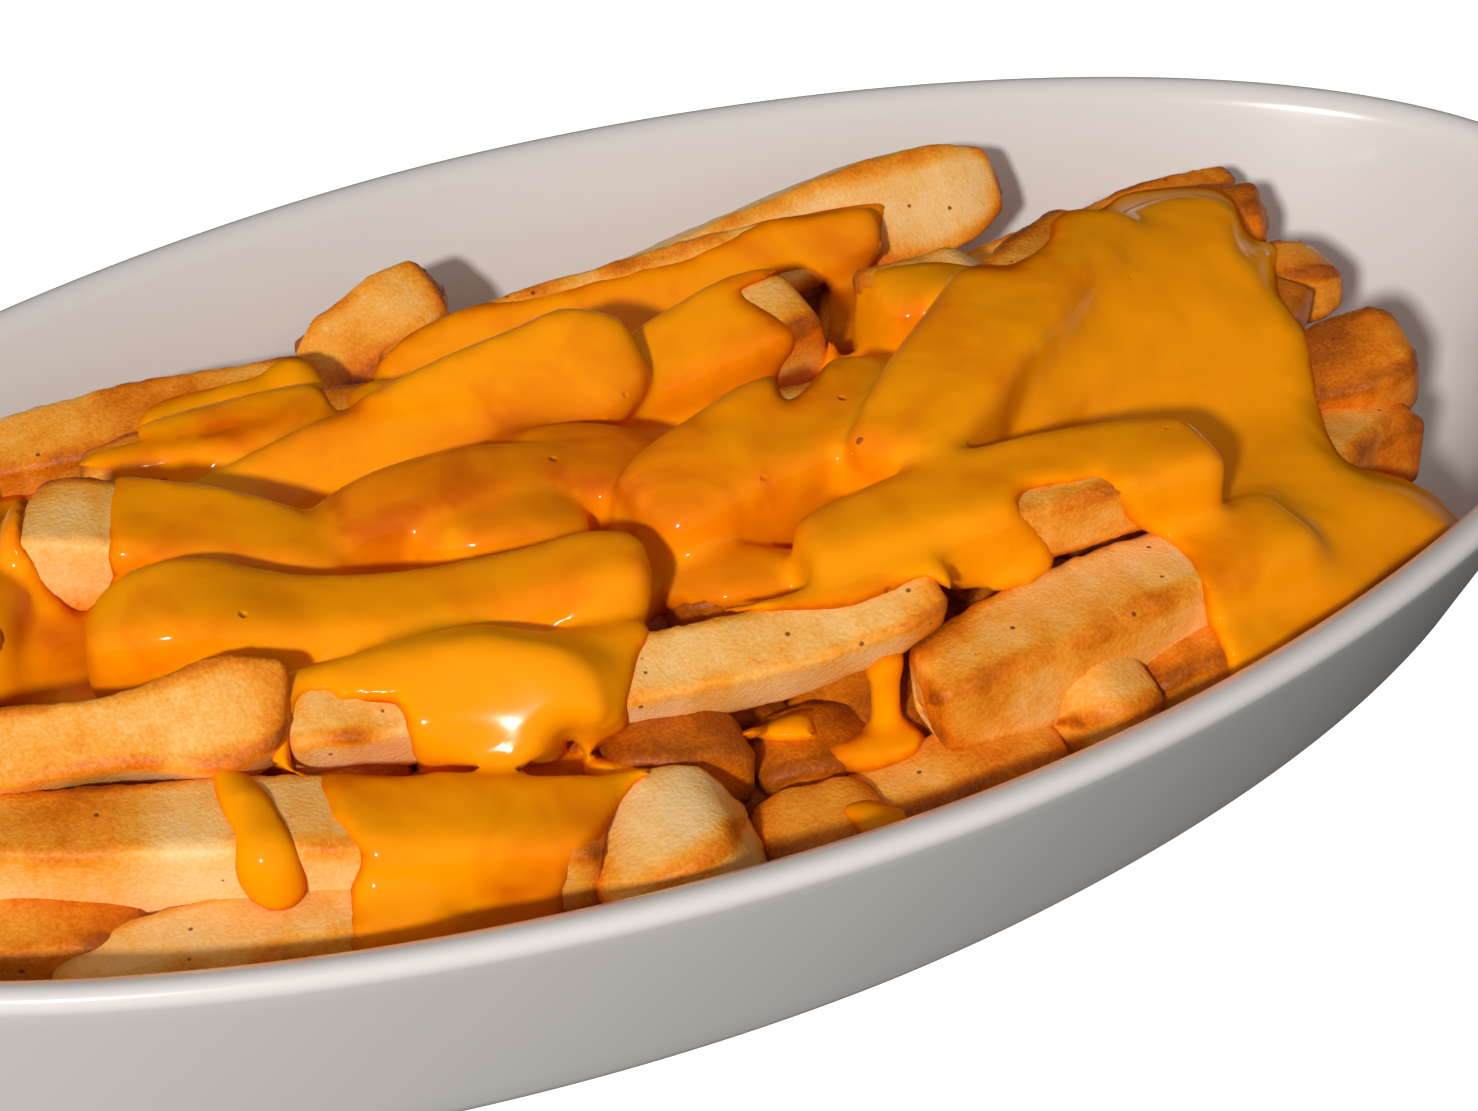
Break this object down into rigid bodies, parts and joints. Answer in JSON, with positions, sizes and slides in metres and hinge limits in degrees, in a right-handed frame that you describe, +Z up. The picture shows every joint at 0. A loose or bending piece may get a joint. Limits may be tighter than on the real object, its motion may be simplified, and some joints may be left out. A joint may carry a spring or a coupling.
{
  "type": "cheese fries",
  "caption": "Thick-cut fries heaped in a long oval white ceramic dish with leaning sides, with glossy melted cheese sauce poured over the heap and dripping between the fries.",
  "frame": {"origin": "middle of the dish's foot, on the table", "axes": "+X along the dish's length, +Z up, -Y towards the near side"},
  "size_m": [0.334, 0.177, 0.0664],
  "materials": {
    "dish_glaze": "smooth glossy warm white glaze",
    "fried_potato": "mealy golden crust, browned along edges and cut ends, slightly oily",
    "melted_cheese": "wet glossy orange-yellow sauce"
  },
  "bodies": {
    "root": {"dish": "dish_glaze", "fries": "fried_potato", "cheese_sauce": "melted_cheese"}
  },
  "joints": []
}
